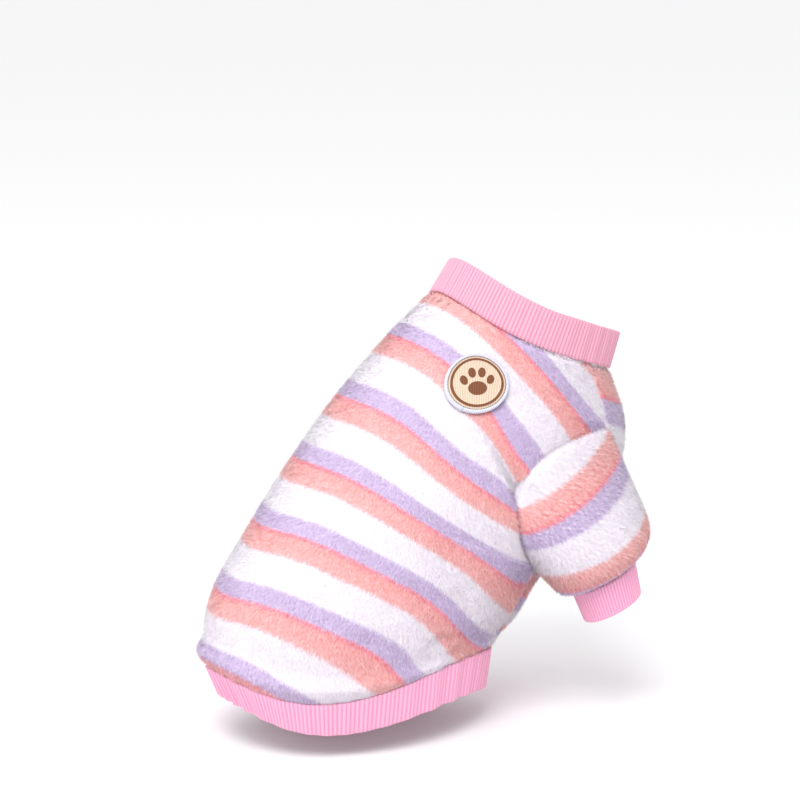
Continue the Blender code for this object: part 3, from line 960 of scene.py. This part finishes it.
def cuff_surface(side):
    """The surface of one cuff: the sleeve's last ring carried down along the cuff's way."""
    centre = np.array([SLEEVE_END.x, -SLEEVE_END.y, SLEEVE_END.z])
    way = np.array([CUFF_FORE, -CUFF_OUT, -CUFF_HEIGHT])

    def surface(down, angle):
        ring = sleeve_end(side.sign * angle + 0.0 * down)[0]
        shrink = 1.0 - CUFF_TAPER / SLEEVE_END.radius * down
        drop = down + SEAM_GAP / CUFF_HEIGHT
        points = centre + (ring - centre) * shrink[..., None] + way * drop[..., None]
        return swung_back(points, side.swing) * [1, side.sign, 1]

    return surface


# The collar gets the copy of the rib that is painted darker, as shade.
rib, shaded_collar_knit = rib_material("pink"), rib_material("shaded pink")
collar = rib_band("collar_rib", collar_surface, COLLAR_RIBS, COLLAR_HEIGHT, shaded_collar_knit)
hem_band = rib_band("hem_rib", hem_surface, HEM_RIBS, HEM_HEIGHT, rib)
bands = [
    (collar, "collar", "collar_rib", (0.34, 0.022)),
    (hem_band, "hem_band", "hem_rib", (0.478, 0.0215)),
]
for side in SIDES:
    name = f"cuff_{side.word}_rib"
    cuff = rib_band(name, cuff_surface(side), CUFF_RIBS, CUFF_HEIGHT, rib)
    bands.append((cuff, f"cuff_{side.word}", f"{side.word}_cuff_rib", (0.126, 0.019)))
for piece, node, slot, flat in bands:
    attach(piece, "root")
    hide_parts(node)

# ---------------------------------------------------------------------------------------
# Patch: a round of twill with a pale stitched edge and a brown paw print in satin stitch,
# sewn to the right shoulder. It follows the back panel's own points, moved out.

PATCH_RINGS = 52
PATCH_SPOKES = 180
PATCH_TIP = -28
PATCH_RISE = 2.0
PATCH_BACK = 0.3
PRINT_RISE = 0.45
PRINT_STEEPNESS = 7.0
PRINTED_RING = 13.9
RING_STEEPNESS = 3.0
EDGE_FROM = 15.7
EDGE_BLEND = 0.3
EDGE_MIDDLE = 16.9
EDGE_HALF_WIDTH = 1.15
EDGE_RISE = 0.75
EDGE_CORDS = 60
CORD_RISE = 0.1
RIM_FROM = 17.2
RIM_WIDTH = 0.8
THREADS_ACROSS = 0.35
THREADS_UP = 0.12

# The pads of the paw print, on the patch's own across and up.
Pad = namedtuple("Pad", "across up wide high tilt")
PADS = (
    Pad(across=0.0, up=-3.9, wide=5.3, high=4.2, tilt=0),
    Pad(across=-7.3, up=1.0, wide=2.2, high=3.1, tilt=24),
    Pad(across=-2.8, up=5.4, wide=2.3, high=3.3, tilt=8),
    Pad(across=2.8, up=5.4, wide=2.3, high=3.3, tilt=-8),
    Pad(across=7.3, up=1.0, wide=2.2, high=3.1, tilt=-24),
)

# The shade tells the threads apart: cream ground, brown print and pale edge.
PATCH_THREADS = (
    ColourStop(at=0.0, red=0.700, green=0.550, blue=0.420),
    ColourStop(at=0.3, red=0.200, green=0.070, blue=0.030),
    ColourStop(at=0.7, red=0.680, green=0.690, blue=0.840),
)
PRINT_SHADE = 0.5
EDGE_SHADE = 0.95
# Painted highlight on each thread's crest and painted shade between the threads.
THREAD_PAINTED_HIGHLIGHT = 0.42
THREAD_PAINTED_SHADE = 0.72


def patch_material():
    """Satin thread in the shade's colour, raised at the middle of each thread and painted
    lighter there as a painted highlight, with painted shade between the threads.
    """
    material, tree, shader = new_material(
        "embroidered patch", roughness=0.7, specular=0.25, sheen=0.1
    )
    threads = tree.nodes.new("ShaderNodeTexWave")
    threads.inputs["Scale"].default_value = 1.0
    threads.inputs["Distortion"].default_value = 1.5
    tree.links.new(cloth_place(tree), threads.inputs["Vector"])
    wave = threads.outputs["Fac"]
    # Painted highlight where the thread is raised, painted shade between threads.
    light = math_node(tree, "MULTIPLY_ADD", wave, THREAD_PAINTED_HIGHLIGHT, THREAD_PAINTED_SHADE)
    shade = attribute(tree, "shade", "Fac")
    colour = colour_ramp(tree, shade, PATCH_THREADS, interpolation="CONSTANT")
    tree.links.new(scaled(tree, colour, light), shader.inputs["Base Color"])
    bump(tree, shader, wave, strength=0.8, distance=0.0004)
    return material


# A grid of rings and spokes, laid on the body by its millimetres for each at and turn.
out = PATCH_RADIUS * np.linspace(0.0, 1.0, PATCH_RINGS)[:, None]
spoke = np.linspace(0.0, 2 * math.pi, PATCH_SPOKES, endpoint=False)[None, :]
there = math.radians(PATCH_TURN)
step = 1e-3
per_at = np.linalg.norm(body(PATCH_AT + step, there) - patch_middle) / step
per_turn = np.linalg.norm(body(PATCH_AT, there + step) - patch_middle) / step
along_back, round_body = out * np.cos(spoke), out * np.sin(spoke)
at = PATCH_AT + along_back / per_at
turn = there - round_body / per_turn
ground, normals = body(at, turn), body_normal(at, turn)
tip = math.radians(PATCH_TIP)
across = math.cos(tip) * round_body - math.sin(tip) * along_back
up = -math.sin(tip) * round_body - math.cos(tip) * along_back

# The print's pads and ring stand up a little, the edge is a round of thick cords, and the
# rim beyond them falls by a millimetre.
print_height = np.zeros_like(across)
for pad in PADS:
    tilt = math.radians(pad.tilt)
    dx, dy = across - pad.across, up - pad.up
    px = (math.cos(tilt) * dx + math.sin(tilt) * dy) / pad.wide
    py = (-math.sin(tilt) * dx + math.cos(tilt) * dy) / pad.high
    print_height = np.maximum(print_height, 1.0 - np.hypot(px, py) ** 2)
raised = np.maximum(print_height, 1.0 - (out - PRINTED_RING) ** 2)
edge_round = 1.0 - ((out - EDGE_MIDDLE) / EDGE_HALF_WIDTH) ** 2
cords = EDGE_RISE + CORD_RISE * (0.5 + 0.5 * np.cos(EDGE_CORDS * spoke))
rise = PATCH_RISE + PRINT_RISE * np.sqrt(np.clip(raised, 0.0, 1.0))
rise = rise + np.sqrt(np.clip(edge_round, 0.0, 1.0)) * cords
rise = rise - smooth_step((out - RIM_FROM) / RIM_WIDTH)
top = ground + normals * rise[..., None]
low = ground + normals * PATCH_BACK

on_print = smooth_step(print_height * PRINT_STEEPNESS)
on_ring = smooth_step(RING_STEEPNESS * (1.0 - np.abs(out - PRINTED_RING)))
on_edge = smooth_step((out - EDGE_FROM) / EDGE_BLEND)
zone = np.maximum(np.maximum(on_print, on_ring) * PRINT_SHADE, on_edge * EDGE_SHADE)
thread_way = np.where(on_edge > 0.5, spoke * PATCH_RADIUS, across)
uv = cloth_map(thread_way * THREADS_ACROSS, up * THREADS_UP).reshape(-1, 2)
patch = new_object(
    "patch_embroidery",
    np.concatenate([top.reshape(-1, 3), low[::-1].reshape(-1, 3)]),
    quads(2 * PATCH_RINGS, PATCH_SPOKES, True)[:, ::-1],
    np.tile(uv, (2, 1)),
    np.concatenate([zone.ravel(), np.full(zone.size, EDGE_SHADE)]),
    patch_material(),
)
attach(patch, "root")
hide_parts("patch")

# ---------------------------------------------------------------------------------------
# Floor, light and camera: a plain pale floor under the hem, a broad soft key light from the
# upper left, a weaker one beside it for the back's edge, and a pale surround.

FLOOR_Z = -214.0
FLOOR_HALF = 14000.0
SURROUND = 0.98
floor_mesh = bpy.data.meshes.new("floor")
floor_corners = [
    (x * FLOOR_HALF * MM, y * FLOOR_HALF * MM, FLOOR_Z * MM)
    for x, y in ((-1, -1), (1, -1), (1, 1), (-1, 1))
]
floor_mesh.from_pydata(floor_corners, [], [(0, 1, 2, 3)])
floor_material, _, floor_shader = new_material(
    "pale floor", roughness=0.9, specular=0.5, sheen=0.0
)
floor_shader.inputs["Base Color"].default_value = (0.93, 0.93, 0.94, 1.0)
floor_mesh.materials.append(floor_material)
floor = bpy.data.objects.new("floor", floor_mesh)
bpy.context.scene.collection.objects.link(floor)

scene = bpy.context.scene
world = bpy.data.worlds.new("pale surround")
world.use_nodes = True
background = world.node_tree.nodes["Background"]
background.inputs["Color"].default_value = (1.0, 1.0, 1.0, 1.0)
background.inputs["Strength"].default_value = SURROUND
scene.world = world
scene.view_settings.view_transform = "Standard"

# The camera stands where the photograph's did, and the picture's middle is a little in front
# of the withers and below them.
AZIMUTH = math.radians(-28)
ELEVATION = math.radians(12)
CAMERA_AWAY = 1700.0
SENSOR = 36.0
FRAME_PIXELS = 800
MM_PER_PIXEL = 0.57
LOOK_NEAR = np.array([-7.0, 0.0, 2.0])
LOOK_RIGHT = 17.1
LOOK_DOWN = 22.8
back_way = np.array([
    math.sin(AZIMUTH) * math.cos(ELEVATION),
    -math.cos(AZIMUTH) * math.cos(ELEVATION),
    math.sin(ELEVATION),
])
right_way = np.array([math.cos(AZIMUTH), math.sin(AZIMUTH), 0.0])
up_way = np.cross(back_way, right_way)
look_at = LOOK_NEAR + LOOK_RIGHT * right_way - LOOK_DOWN * up_way


def aimed(thing, place, target):
    """Puts a camera or light at a place, looking at a target, both in millimetres."""
    thing.location = Vector(place) * MM
    way = Vector(target) - Vector(place)
    thing.rotation_euler = way.to_track_quat("-Z", "Y").to_euler()


camera_data = bpy.data.cameras.new("camera")
camera_data.sensor_width = SENSOR
camera_data.lens = SENSOR * CAMERA_AWAY / (FRAME_PIXELS * MM_PER_PIXEL)
camera_data.clip_end = 20.0
camera = bpy.data.objects.new("camera", camera_data)
scene.collection.objects.link(camera)
aimed(camera, look_at + back_way * CAMERA_AWAY, look_at)
scene.camera = camera

Light = namedtuple("Light", "name x y z size power")
LIGHTS = (
    Light(name="key", x=-700, y=-900, z=1300, size=900, power=23),
    Light(name="left", x=-1500, y=100, z=500, size=1200, power=5),
)
LIGHT_TARGET = (20.0, 0.0, -80.0)
for row in LIGHTS:
    lamp_data = bpy.data.lights.new(row.name, "AREA")
    lamp_data.size = row.size * MM
    lamp_data.energy = row.power
    lamp = bpy.data.objects.new(row.name, lamp_data)
    scene.collection.objects.link(lamp)
    aimed(lamp, (row.x, row.y, row.z), LIGHT_TARGET)
